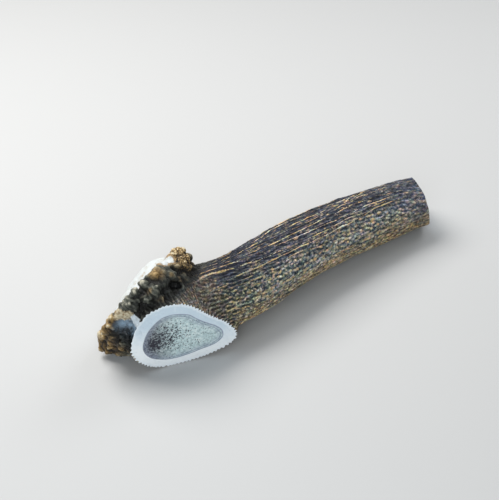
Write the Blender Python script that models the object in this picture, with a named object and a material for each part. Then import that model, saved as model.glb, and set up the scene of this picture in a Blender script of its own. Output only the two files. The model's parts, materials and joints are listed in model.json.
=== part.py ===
"""The lower length of a deer antler, lying as it rests on a table.

The antler grew as one branching piece. It has a knobbly ring, the burr, round its base, a main beam that
bends away from the burr, and a brow tine that was sawn off close to the beam. The beam is sawn off too, so
the antler has two flat sawn faces and one low dome, the seal, where it left the skull. The solid is parted
at its one fork, so that the beam with its burr and the stub of the tine are two objects.

Frame: metres, +Z up. The beam runs along +X, the sawn tine faces -Y, and the origin is at the middle of the
underside of the antler's box. The constants are in mm and degrees.
"""

import math

import bmesh
import bpy
import numpy as np
from mathutils import Matrix, Vector, noise

MM = 0.001

# The beam: middle of each section and its radius, from inside the fork to past the sawn end.
BEAM_STATIONS = (
    (-78.0, 3.0, 19.5, 14.5),
    (-58.4, -3.0, 20.4, 17.5),
    (-38.8, -4.9, 19.5, 17.2),
    (-19.3, -3.0, 19.3, 17.0),
    (12.0, 2.5, 19.0, 16.4),
    (46.0, 4.8, 17.2, 15.3),
    (80.0, 5.2, 15.2, 14.3),
    (104.0, 3.0, 13.8, 13.8),
)
BEAM_STEPS = 6
BEAM_FLATTENING = 0.96
# Points round each ring of the beam and of the burr.
RING_POINTS = 48
# A direction is a compass angle in the floor plane and a height above it.
BEAM_END = (92.5, 3.5, 14.0)
BEAM_END_FACING = (-17.0, 11.0)

# The burr: a ring of pearls round the seal.
BURR_CENTRE = (-80.6, 9.9, 26.3)
BURR_FACING = (118.0, 31.0)
# Distance below the plane of the burr's rim, then radius, from the crown of the seal to the neck.
BURR_PROFILE = (
    (-6.5, 4.0),
    (-5.9, 9.0),
    (-4.6, 14.0),
    (-2.6, 18.5),
    (-0.6, 21.8),
    (1.2, 24.5),
    (3.5, 26.5),
    (7.0, 25.2),
    (10.5, 22.4),
    (15.0, 19.6),
    (22.0, 16.3),
)
# The crown of the seal leans to one side of the ring: how far for its height, and at what angle.
SEAL_LEAN = 1.5
SEAL_LEAN_ANGLE = 134.0
# The ring is longer one way than the other, and uneven: waves round it, angle where they start, their share.
BURR_SWELL = ((1, -40.0, 0.08), (2, -210.0, 0.025), (5, 120.0, 0.02))
# The rim climbs on one side of the ring: how far, at what angle round it, how sharply, and between which
# distances below the rim the climb dies away.
RIM_RISE = 3.2
RIM_RISE_ANGLE = 26.0
RIM_RISE_POWER = 4
RIM_RISE_ENDS = (5.0, 13.0)

# Rows of pearls: distance below the rim, distance from the axis, pearl radius, number in a full ring, and
# the angles where the row starts and ends. The two lower rows are only where the burr spreads to the tine.
PEARL_ROWS = (
    (2.0, 25.4, 2.4, 30, 0.0, 360.0),
    (6.4, 26.0, 2.5, 29, 0.0, 360.0),
    (10.4, 24.4, 2.2, 27, -35.0, 150.0),
    (14.0, 23.0, 1.9, 26, -25.0, 125.0),
)
# How unevenly they stand: by a share of the step between two, then along the axis and out from it.
PEARL_STRAY = (0.5, 0.9, 0.8)
# The range of their sizes, and how much longer each is along the burr's axis than across it.
PEARL_SIZES = (0.8, 1.2)
PEARL_STRETCH = 1.12
# A lobe on the rim, and knobs at the two ends of the burr's longer axis: angle round the ring, distance from
# the axis, distance below the rim, and radius.
BURR_KNOBS = (
    (84.0, 25.6, 2.4, 3.9),
    (132.0, 27.4, 2.2, 3.7),
    (137.0, 25.6, 6.4, 3.2),
    (126.0, 25.2, 8.8, 2.7),
    (304.0, 24.4, 3.6, 6.2),
    (309.0, 22.5, 10.0, 4.7),
    (320.0, 21.6, 6.0, 4.8),
)
# The hollow between the burr and the tine: its middle, radius and depth. No pearl stands within a share of
# its radius.
HOLLOW_MIDDLE = (-98.5, -10.5, 27.0)
HOLLOW_RADIUS = 7.5
HOLLOW_DEPTH = 3.0
HOLLOW_BARE = 0.75

# The brow tine's stub: outline of the sawn face in its own plane, from its foot on the floor.
TINE_FOOT = (-83.0, -14.0, 0.0)
TINE_FACING = (-105.5, -5.0)
TINE_OUTLINE = (
    (5.0, 0.0),
    (-5.0, 2.0),
    (-13.0, 9.5),
    (-14.8, 19.4),
    (-9.7, 33.7),
    (0.2, 39.6),
    (12.0, 37.7),
    (22.5, 28.0),
    (32.0, 19.0),
    (37.2, 12.0),
    (35.5, 6.5),
    (27.5, 2.8),
    (16.0, 0.6),
)
TINE_STEPS = 5
TINE_RINGS = 6
# The tine's root inside the fork: how deep it lies, how far it has moved across and up, and its scale.
TINE_ROOT_DEPTH = 20.0
TINE_ROOT_SHIFT = (6.0, 1.5)
TINE_ROOT_SCALE = 1.06
# Length past the sawn face, which the saw takes off.
TINE_SPARE = 6.0

# The fork is parted by a plane behind the sawn face and by a wall that runs round the outside of the stub.
FORK_DEPTH = 8.0
FORK_MARGIN = 1.2
SEAM_GAP = 0.3

# Channels down the beam: height, length, and how closely they stand. They start past the fork.
FLUTES = ((1.1, 55.0, 2.6), (0.6, 30.0, 6.0))
FLUTES_START = -62.0
FLUTES_FULL = -42.0

FORK_VOXEL = 1.5
FORK_SMOOTHING = 18
SKIN_VOXEL = 0.85
SKIN_SMOOTHING = 2
SMOOTHING_FACTOR = 0.5
SKIN_TRIANGLES = 9000
SHARP_EDGE = 40.0
SEED = 5

# A facet counts as an underside when it faces down at least this squarely.
UNDERSIDE = 0.9

BEAM_BROWN = (0.085, 0.062, 0.045, 1.0)
TINE_BROWN = (0.11, 0.08, 0.055, 1.0)
ANTLER_ROUGHNESS = 0.55


def facing(angles):
    """The unit vector at a compass angle in the floor plane and a height above it."""
    turn, rise = (math.radians(a) for a in angles)
    return Vector((math.cos(turn) * math.cos(rise), math.sin(turn) * math.cos(rise), math.sin(rise)))


def plane_frame(normal):
    """Two unit vectors in the plane across a normal: one level, one climbing."""
    level = Vector((0, 0, 1)).cross(normal).normalized()
    return level, normal.cross(level).normalized()


def smooth_through(points, steps, closed=False):
    """A Catmull-Rom curve through the points, with a number of steps to each span."""
    rows = np.array(points, float)
    if closed:
        rows = np.vstack([rows[-1], rows, rows[0], rows[1]])
    else:
        rows = np.vstack([2 * rows[0] - rows[1], rows, 2 * rows[-1] - rows[-2]])
    found = []
    for i in range(1, len(rows) - 2):
        before, start, end, after = rows[i - 1 : i + 3]
        for t in np.arange(steps) / steps:
            slope = (end - before) * t
            bend = (2 * before - 5 * start + 4 * end - after) * t**2
            twist = (3 * start - before - 3 * end + after) * t**3
            found.append(start + (slope + bend + twist) / 2)
    if not closed:
        found.append(rows[-2])
    return np.array(found)


def add_loft(bm, rings):
    """Adds a closed shell through rings of points, capped at both ends."""
    loops = [[bm.verts.new(Vector(p) * MM) for p in ring] for ring in rings]
    for low, high in zip(loops, loops[1:]):
        for i in range(len(low)):
            j = (i + 1) % len(low)
            bm.faces.new((low[i], low[j], high[j], high[i]))
    bm.faces.new(reversed(loops[0]))
    bm.faces.new(loops[-1])


def add_beam(bm):
    """The main beam, from inside the fork to just past the sawn end."""
    path = smooth_through(BEAM_STATIONS, BEAM_STEPS)
    angles = np.linspace(0, 2 * math.pi, RING_POINTS, endpoint=False)
    rings = []
    for i, (x, y, z, radius) in enumerate(path):
        ahead = path[min(i + 1, len(path) - 1)][:3] - path[max(i - 1, 0)][:3]
        level, climbing = plane_frame(Vector(ahead).normalized())
        across = level * radius
        up = climbing * radius * BEAM_FLATTENING
        rings.append([Vector((x, y, z)) + across * math.cos(a) + up * math.sin(a) for a in angles])
    add_loft(bm, rings)


def burr_point(angle, below, out):
    """A point by its angle round the burr, its distance below the rim and its distance from the axis."""
    normal = facing(BURR_FACING)
    level, climbing = plane_frame(normal)
    spoke = level * math.cos(angle) + climbing * math.sin(angle)
    return Vector(BURR_CENTRE) + spoke * out - normal * below


def rim_point(angle, below, out):
    """A point of the burr's ring, which is uneven and climbs on one side."""
    swell = 1.0
    for waves, start, share in BURR_SWELL:
        swell += share * math.sin(waves * angle + math.radians(start))
    nearness = (1 + math.cos(angle - math.radians(RIM_RISE_ANGLE))) / 2
    rise = RIM_RISE * nearness**RIM_RISE_POWER * np.interp(below, RIM_RISE_ENDS, (1.0, 0.0))
    return burr_point(angle, below - rise, out * swell)


def seal_point(angle, below, out):
    """A point of the domed seal, whose crown leans to one side."""
    lean = burr_point(math.radians(SEAL_LEAN_ANGLE), 0, -SEAL_LEAN * below) - burr_point(0, 0, 0)
    return burr_point(angle, below, out) + lean


def add_burr(bm):
    """The ring of the burr, with the domed seal inside it and the neck below it."""
    angles = np.linspace(0, 2 * math.pi, RING_POINTS, endpoint=False)
    rings = []
    for below, out in BURR_PROFILE:
        place = rim_point if below > 0 else seal_point
        rings.append([place(a, below, out) for a in angles])
    add_loft(bm, rings)


def tine_ring(outline, depth):
    """The points of an outline laid at a depth behind the sawn face."""
    normal = facing(TINE_FACING)
    level, climbing = plane_frame(normal)
    return [Vector(TINE_FOOT) + level * a + climbing * b - normal * depth for a, b in outline]


def add_tine(bm):
    """The stub of the brow tine, from inside the fork to just past its sawn face."""
    outline = smooth_through(TINE_OUTLINE, TINE_STEPS, closed=True)
    middle = outline.mean(axis=0)
    rings = []
    for depth in np.linspace(TINE_ROOT_DEPTH, -TINE_SPARE, TINE_RINGS):
        inward = max(0.0, depth) / TINE_ROOT_DEPTH
        scale = 1 + (TINE_ROOT_SCALE - 1) * inward
        shifted = middle + (outline - middle) * scale + np.array(TINE_ROOT_SHIFT) * inward
        rings.append(tine_ring(shifted, depth))
    add_loft(bm, rings)


def add_pearl(bm, centre, radius):
    """A pearl, a little longer along the burr's axis than across it."""
    turned = facing(BURR_FACING).to_track_quat("Z", "Y")
    place = Matrix.LocRotScale(centre * MM, turned, Vector((1, 1, PEARL_STRETCH)))
    bmesh.ops.create_icosphere(bm, subdivisions=2, radius=radius * MM, matrix=place)


def in_hollow(spot):
    """Whether a spot lies in the bare part of the hollow between the burr and the tine."""
    return (spot - Vector(HOLLOW_MIDDLE)).length < HOLLOW_RADIUS * HOLLOW_BARE


def add_pearls(bm):
    """The pearls in their rows round the burr, and the larger knobs."""
    dice = np.random.default_rng(SEED)
    step_stray, axis_stray, out_stray = PEARL_STRAY
    for below, out, radius, number, first, last in PEARL_ROWS:
        step = 2 * math.pi / number
        for i in range(round(number * (last - first) / 360)):
            angle = math.radians(first) + step * (i + step_stray * dice.random())
            lower = below + dice.uniform(-axis_stray, axis_stray)
            further = out + dice.uniform(-out_stray, out_stray)
            spot = rim_point(angle, lower, further)
            size = radius * dice.uniform(*PEARL_SIZES)
            if not in_hollow(spot):
                add_pearl(bm, spot, size)
    for angle, out, below, radius in BURR_KNOBS:
        add_pearl(bm, burr_point(math.radians(angle), below, out), radius)


def object_from(bm, name):
    """A new object that holds the mesh built so far."""
    bmesh.ops.recalc_face_normals(bm, faces=bm.faces)
    mesh = bpy.data.meshes.new(name)
    bm.to_mesh(mesh)
    bm.free()
    thing = bpy.data.objects.new(name, mesh)
    bpy.context.scene.collection.objects.link(thing)
    return thing


def apply_modifiers(thing):
    """Makes an object's modified shape its own mesh."""
    graph = bpy.context.evaluated_depsgraph_get()
    mesh = bpy.data.meshes.new_from_object(thing.evaluated_get(graph))
    thing.modifiers.clear()
    thing.data = mesh


def fuse(thing, voxel, smoothing):
    """Fuses overlapping shells into one skin and softens the joins."""
    remesh = thing.modifiers.new("fuse", "REMESH")
    remesh.mode = "VOXEL"
    remesh.voxel_size = voxel * MM
    soften = thing.modifiers.new("soften", "SMOOTH")
    soften.factor = SMOOTHING_FACTOR
    soften.iterations = smoothing
    apply_modifiers(thing)


def grown_fork():
    """Beam, burr and tine run together into one smooth branching form."""
    bm = bmesh.new()
    add_beam(bm)
    add_burr(bm)
    add_tine(bm)
    form = object_from(bm, "form")
    fuse(form, FORK_VOXEL, FORK_SMOOTHING)
    return form


def flute(form):
    """Raises the long uneven channels that run down the beam."""
    path = smooth_through(BEAM_STATIONS, BEAM_STEPS)
    for vertex in form.data.vertices:
        x, y, z = vertex.co / MM
        middle = Vector((np.interp(x, path[:, 0], path[:, 1]), np.interp(x, path[:, 0], path[:, 2])))
        spoke = (Vector((y, z)) - middle).normalized()
        fade = np.interp(x, (FLUTES_START, FLUTES_FULL), (0.0, 1.0))
        for height, length, closeness in FLUTES:
            place = Vector((spoke.x * closeness, spoke.y * closeness, x / length))
            vertex.co += vertex.normal * (noise.noise(place) * height * fade * MM)


def hollow_out(form):
    """Sinks the hollow between the burr and the tine into the burr's side, and leaves the tine's side."""
    sawn = facing(TINE_FACING)
    for vertex in form.data.vertices:
        away = (vertex.co / MM - Vector(HOLLOW_MIDDLE)).length / HOLLOW_RADIUS
        share = vertex.normal.dot(sawn)
        if away < 1 and share > 0:
            vertex.co -= vertex.normal * (HOLLOW_DEPTH * share * (1 - away**2) ** 2 * MM)


def with_pearls(form):
    """Grows the pearls out of the burr and makes one fine skin of the whole."""
    bm = bmesh.new()
    bm.from_mesh(form.data)
    bpy.data.objects.remove(form)
    add_pearls(bm)
    skin = object_from(bm, "skin")
    fuse(skin, SKIN_VOXEL, SKIN_SMOOTHING)
    return skin


def island_from(vertex):
    """All vertices that edges join to this one."""
    found = {vertex}
    waiting = [vertex]
    while waiting:
        for edge in waiting.pop().link_edges:
            for other in edge.verts:
                if other not in found:
                    found.add(other)
                    waiting.append(other)
    return found


def drop_bubbles(skin):
    """Removes the small closed bubbles left inside where pearls meet, and keeps the outer skin."""
    bm = bmesh.new()
    bm.from_mesh(skin.data)
    outer = island_from(max(bm.verts, key=lambda vertex: vertex.co.x))
    bubbles = [vertex for vertex in bm.verts if vertex not in outer]
    bmesh.ops.delete(bm, geom=bubbles, context="VERTS")
    bm.to_mesh(skin.data)
    bm.free()


def thin_out(skin):
    """Takes the skin down to its share of triangles, keeping its form."""
    skin.data.calc_loop_triangles()
    fewer = skin.modifiers.new("thin out", "DECIMATE")
    fewer.ratio = SKIN_TRIANGLES / len(skin.data.loop_triangles)
    fewer.use_collapse_triangulate = True
    apply_modifiers(skin)


def saw(skin, point, direction):
    """Saws off what lies past a plane and closes the face."""
    bm = bmesh.new()
    bm.from_mesh(skin.data)
    everything = bm.verts[:] + bm.edges[:] + bm.faces[:]
    cut = bmesh.ops.bisect_plane(
        bm, geom=everything, plane_co=Vector(point) * MM, plane_no=facing(direction), clear_outer=True
    )
    rim = [e for e in cut["geom_cut"] if isinstance(e, bmesh.types.BMEdge)]
    bmesh.ops.contextual_create(bm, geom=rim)
    bmesh.ops.recalc_face_normals(bm, faces=bm.faces)
    bm.to_mesh(skin.data)
    bm.free()


def fork_plug(margin):
    """A plug that holds the tine's stub: its outline grown by a margin, from the fork past the sawn face."""
    outline = smooth_through(TINE_OUTLINE, TINE_STEPS, closed=True)
    along = np.roll(outline, -1, axis=0) - np.roll(outline, 1, axis=0)
    outward = np.stack([-along[:, 1], along[:, 0]], axis=1)
    outward /= np.linalg.norm(outward, axis=1, keepdims=True)
    grown = outline + outward * (FORK_MARGIN + margin)
    bm = bmesh.new()
    add_loft(bm, [tine_ring(grown, FORK_DEPTH + margin), tine_ring(grown, -TINE_SPARE)])
    plug = object_from(bm, "fork_plug")
    plug.hide_render = True
    plug.display_type = "WIRE"
    return plug


def parted(skin, name, plug, operation):
    """The share of the skin inside or outside a plug, as a new object."""
    piece = bpy.data.objects.new(name, skin.data.copy())
    bpy.context.scene.collection.objects.link(piece)
    cut = piece.modifiers.new("part at the fork", "BOOLEAN")
    cut.operation = operation
    cut.solver = "EXACT"
    cut.object = plug
    apply_modifiers(piece)
    piece.data.name = name
    return piece


def centre_of_mass(pieces):
    """The middle of the pieces' volume, summed over the tetrahedra from the origin to each triangle."""
    total = 0.0
    moment = Vector((0, 0, 0))
    for piece in pieces:
        piece.data.calc_loop_triangles()
        for triangle in piece.data.loop_triangles:
            a, b, c = (piece.data.vertices[i].co for i in triangle.vertices)
            volume = a.dot(b.cross(c)) / 6
            total += volume
            moment += (a + b + c) * volume / 4
    return moment / total


def resting_normal(pieces, middle):
    """The outward normal of the facet of the pieces' convex hull that the centre of mass stands over."""
    hull = bmesh.new()
    for piece in pieces:
        hull.from_mesh(piece.data)
    bmesh.ops.delete(hull, geom=hull.edges[:] + hull.faces[:], context="EDGES_FACES")
    bmesh.ops.convex_hull(hull, input=hull.verts)
    hull.normal_update()
    found = Vector((0, 0, -1))
    for face in hull.faces:
        corners = [vertex.co for vertex in face.verts]
        sides = zip(corners, corners[1:] + corners[:1])
        over = all((b - a).cross(middle - a).dot(face.normal) > 0 for a, b in sides)
        if over and face.normal.z < -UNDERSIDE:
            found = face.normal.copy()
    hull.free()
    return found


def settle_on_floor(pieces):
    """Places the pieces together as they rest, with the origin under the middle of their box."""
    down = resting_normal(pieces, centre_of_mass(pieces))
    turn = down.rotation_difference(Vector((0, 0, -1))).to_matrix().to_4x4()
    points = np.array([turn @ vertex.co for piece in pieces for vertex in piece.data.vertices])
    low = points.min(axis=0)
    middle = (low + points.max(axis=0)) / 2
    for piece in pieces:
        piece.matrix_world = Matrix.Translation((-middle[0], -middle[1], -low[2])) @ turn


def finish(piece, colour):
    """Shades a piece smooth between its sharp edges and gives it its own material."""
    piece.data.shade_smooth()
    piece.data.set_sharp_from_angle(angle=math.radians(SHARP_EDGE))
    material = bpy.data.materials.new(piece.name)
    material.use_nodes = True
    shader = material.node_tree.nodes["Principled BSDF"]
    shader.inputs["Base Color"].default_value = colour
    shader.inputs["Roughness"].default_value = ANTLER_ROUGHNESS
    shader.inputs["Metallic"].default_value = 0.0
    piece.data.materials.clear()
    piece.data.materials.append(material)


def main():
    """Builds the antler."""
    for old in list(bpy.data.objects):
        bpy.data.objects.remove(old)
    form = grown_fork()
    flute(form)
    hollow_out(form)
    skin = with_pearls(form)
    drop_bubbles(skin)
    thin_out(skin)
    saw(skin, TINE_FOOT, TINE_FACING)
    saw(skin, BEAM_END, BEAM_END_FACING)
    plug = fork_plug(0.0)
    wider_plug = fork_plug(SEAM_GAP)
    tine = parted(skin, "brow_tine", plug, "INTERSECT")
    beam = parted(skin, "beam", wider_plug, "DIFFERENCE")
    for spent in (skin, plug, wider_plug):
        bpy.data.objects.remove(spent)
    settle_on_floor([beam, tine])
    finish(beam, BEAM_BROWN)
    finish(tine, TINE_BROWN)


main()
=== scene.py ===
"""The looks of a deer antler: its ridged skin, pearled burr and sawn faces, in a plain studio.

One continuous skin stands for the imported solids. It is fused from copies of them, with fine pearls added
round the burr. Ridges are then grown over it along the lines in which the antler grew, and the two sawn
faces are cut through them, so that the ridges end in small teeth there. Sizes are in mm unless a name
says metres.
"""

import json
import logging
import math
from dataclasses import dataclass, field
from enum import Enum
from typing import Any, Iterable, Sequence, Union

import bmesh
import bpy
import numpy as np
from mathutils import Matrix, Vector, noise
from mathutils.geometry import delaunay_2d_cdt
from mathutils.kdtree import KDTree

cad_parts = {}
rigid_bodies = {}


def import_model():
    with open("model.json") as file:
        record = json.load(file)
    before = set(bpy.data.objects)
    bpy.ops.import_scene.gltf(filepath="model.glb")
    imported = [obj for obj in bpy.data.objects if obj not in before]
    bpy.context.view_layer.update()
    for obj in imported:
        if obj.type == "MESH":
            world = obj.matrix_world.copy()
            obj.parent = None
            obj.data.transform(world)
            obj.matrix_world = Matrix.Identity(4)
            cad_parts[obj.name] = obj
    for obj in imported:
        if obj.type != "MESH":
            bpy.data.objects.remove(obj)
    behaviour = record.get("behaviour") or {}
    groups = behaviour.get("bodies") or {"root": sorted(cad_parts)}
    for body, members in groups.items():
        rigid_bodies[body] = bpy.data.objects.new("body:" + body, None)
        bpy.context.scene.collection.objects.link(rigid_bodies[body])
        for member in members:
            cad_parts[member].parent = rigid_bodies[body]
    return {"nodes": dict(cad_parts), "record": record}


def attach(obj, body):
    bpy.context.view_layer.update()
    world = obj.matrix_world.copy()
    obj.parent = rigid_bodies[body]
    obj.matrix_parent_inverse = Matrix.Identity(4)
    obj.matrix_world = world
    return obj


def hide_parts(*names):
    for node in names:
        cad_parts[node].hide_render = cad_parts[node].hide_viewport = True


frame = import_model()

MM = 0.001
# Long veins round the beam.
VEINS = 36
# The share of its reach within which a spot counts in full.
SPOT_CORE = 0.35
LOG = logging.getLogger("antler")

Colour = tuple[float, float, float]
Number = Union[float, "Value"]
Stops = tuple[tuple[float, Colour], ...]
Span = tuple[float, float]
Rows = tuple[tuple[float, ...], ...]
# A crowd of pores: its middle in the plane, its spread each way and its number.
Crowd = tuple[Span, Span, int]


class Slot(Enum):
    """The record's material slots."""

    BROWN = "antler_brown"
    BONE = "sawn_bone"


class Layer(Enum):
    """What the skin's points carry for the finishes."""

    CREST = "crest"
    CORD = "cord"
    VEIN = "vein"
    # Painted light on the beam: a sheen on its flank and shade along one edge.
    TONE = "tone"
    RELIEF = "relief"
    UNBENT = "unbent"
    LINES = "lines"
    UNDER = "under"
    FAR = "far"
    FORK = "fork"
    FAN = "fan"
    BURR = "burr"
    SEAL = "seal"
    KNOB = "knob"
    HONEY = "honey"
    HOLLOW = "hollow"
    FLAKE = "flake"
    LEDGE = "ledge"
    PIT = "pit"
    CORE = "core"
    RIM = "rim"
    PORE = "pore"


class Face(Enum):
    """The skin's material slots, in order."""

    BARK = 0
    SAWN = 1


def plane_axes(normal: Vector) -> tuple[Vector, Vector]:
    """Two unit vectors in the plane across a normal.

    Args:
        normal: The plane's unit normal.

    Returns:
        A level one and a climbing one.
    """
    level = Vector((0, 0, 1)).cross(normal).normalized()
    return level, normal.cross(level).normalized()


def ease(value: np.ndarray, low: float, high: float) -> np.ndarray:
    """A smooth step from 0 at low to 1 at high; high may be the smaller.

    Args:
        value: The values to step over.
        low: Where the step starts.
        high: Where it ends.

    Returns:
        The stepped values.
    """
    t = np.clip((value - low) / (high - low), 0, 1)
    return t * t * (3 - 2 * t)


def near_spot(points: np.ndarray, spot: Vector, reach: float) -> np.ndarray:
    """A share that is 1 at a spot and falls to 0 at its reach.

    Args:
        points: The points in mm, one to a row.
        spot: The spot.
        reach: How far it reaches, in mm.

    Returns:
        The share at each point.
    """
    return ease(np.linalg.norm(points - np.array(spot), axis=1), reach, reach * SPOT_CORE)


def near_spots(points: np.ndarray, spots: Sequence[tuple[Vector, float]]) -> np.ndarray:
    """The largest share that any of several spots gives, each with its own reach in mm."""
    return np.max([near_spot(points, spot, reach) for spot, reach in spots], axis=0)


def rough_at(points: np.ndarray, size: float) -> np.ndarray:
    """Smooth random values from about -1 to 1.

    Args:
        points: The points in mm, one to a row.
        size: How far apart the values differ, in mm.

    Returns:
        The value at each point.
    """
    return np.array([noise.noise(Vector(p)) for p in points / size])


def smooth_loop(points: Sequence[Sequence[float]], steps: int) -> np.ndarray:
    """A closed Catmull-Rom curve through points.

    Args:
        points: The points, in order.
        steps: How many points each span gives.

    Returns:
        The curve's points, one to a row.
    """
    rows = np.array(points, float)
    before, after, later = (np.roll(rows, shift, axis=0) for shift in (1, -1, -2))
    found = []
    for t in np.arange(steps) / steps:
        slope = (after - before) * t
        bend = (2 * before - 5 * rows + 4 * after - later) * t**2
        twist = (3 * rows - before - 3 * after + later) * t**3
        found.append(rows + (slope + bend + twist) / 2)
    return np.stack(found, axis=1).reshape(-1, rows.shape[1])


def points_of(mesh: bpy.types.Mesh) -> np.ndarray:
    """Reads where a mesh's points are.

    Args:
        mesh: The mesh.

    Returns:
        The points in mm, one to a row.
    """
    flat = np.empty(len(mesh.vertices) * 3, np.float32)
    mesh.vertices.foreach_get("co", flat)
    return flat.reshape(-1, 3).astype(float) / MM


def move_points(mesh: bpy.types.Mesh, points: np.ndarray) -> None:
    """Puts a mesh's points at new places.

    Args:
        mesh: The mesh to change.
        points: The new places in mm, one to a row.
    """
    mesh.vertices.foreach_set("co", (points * MM).astype(np.float32).ravel())
    mesh.update()


def normals_of(mesh: bpy.types.Mesh) -> np.ndarray:
    """Reads a mesh's normals at its points.

    Args:
        mesh: The mesh.

    Returns:
        The normals, one to a row.
    """
    flat = np.empty(len(mesh.vertices) * 3, np.float32)
    mesh.vertex_normals.foreach_get("vector", flat)
    return flat.reshape(-1, 3).astype(float)


def store(mesh: bpy.types.Mesh, layer: Layer, values: np.ndarray) -> None:
    """Stores a number or a vector at each point of a mesh.

    Args:
        mesh: The mesh.
        layer: What the values are.
        values: One number to a point, or one row of three.
    """
    vector = values.ndim == 2
    made = mesh.attributes.new(layer.value, "FLOAT_VECTOR" if vector else "FLOAT", "POINT")
    made.data.foreach_set("vector" if vector else "value", values.astype(np.float32).ravel())


def choose(*things: bpy.types.Object) -> None:
    """Selects these objects alone and makes the first one active.

    Args:
        things: The objects.
    """
    if bpy.context.object and bpy.context.object.mode != "OBJECT":
        bpy.ops.object.mode_set(mode="OBJECT")
    bpy.ops.object.select_all(action="DESELECT")
    for thing in things:
        thing.select_set(True)
    bpy.context.view_layer.objects.active = things[0]


def join(things: Sequence[bpy.types.Object]) -> bpy.types.Object:
    """Joins objects into the first of them.

    Args:
        things: The objects.

    Returns:
        The first of them.
    """
    choose(*things)
    bpy.ops.object.join()
    return things[0]


def apply_modifier(thing: bpy.types.Object, name: str, kind: str, **settings: Any) -> None:
    """Adds a modifier to an object and applies it.

    Args:
        thing: The object.
        name: The modifier's name.
        kind: Its type.
        settings: Its settings by name.
    """
    choose(thing)
    modifier = thing.modifiers.new(name, kind)
    for key, value in settings.items():
        setattr(modifier, key, value)
    bpy.ops.object.modifier_apply(modifier=modifier.name)


@dataclass(frozen=True)
class Border:
    """A closed border in a plane: its points in mm, and which of them its edges join."""

    points: np.ndarray
    pairs: np.ndarray

    def edges(self) -> Iterable[tuple[np.ndarray, np.ndarray]]:
        """Where each edge starts and ends."""
        return zip(self.points[self.pairs[:, 0]], self.points[self.pairs[:, 1]])

    def distance(self, places: np.ndarray) -> np.ndarray:
        """The distance to the nearest edge.

        Args:
            places: Places in the plane, one to a row.

        Returns:
            The distance from each place, in mm.
        """
        nearest = np.full(len(places), np.inf)
        for start, end in self.edges():
            along = end - start
            t = np.clip((places - start) @ along / max(along @ along, 1e-12), 0, 1)
            nearest = np.minimum(nearest, np.linalg.norm(places - start - t[:, None] * along, axis=1))
        return nearest

    def holds(self, places: np.ndarray) -> np.ndarray:
        """Whether places lie inside, by how often a level line from them crosses the border.

        Args:
            places: Places in the plane, one to a row.

        Returns:
            True or False for each place.
        """
        crossings = np.zeros(len(places), int)
        for start, end in self.edges():
            if start[1] == end[1]:
                continue
            spans = (start[1] > places[:, 1]) != (end[1] > places[:, 1])
            at = start[0] + (places[:, 1] - start[1]) * (end[0] - start[0]) / (end[1] - start[1])
            crossings += spans & (places[:, 0] < at)
        return crossings % 2 == 1


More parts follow.
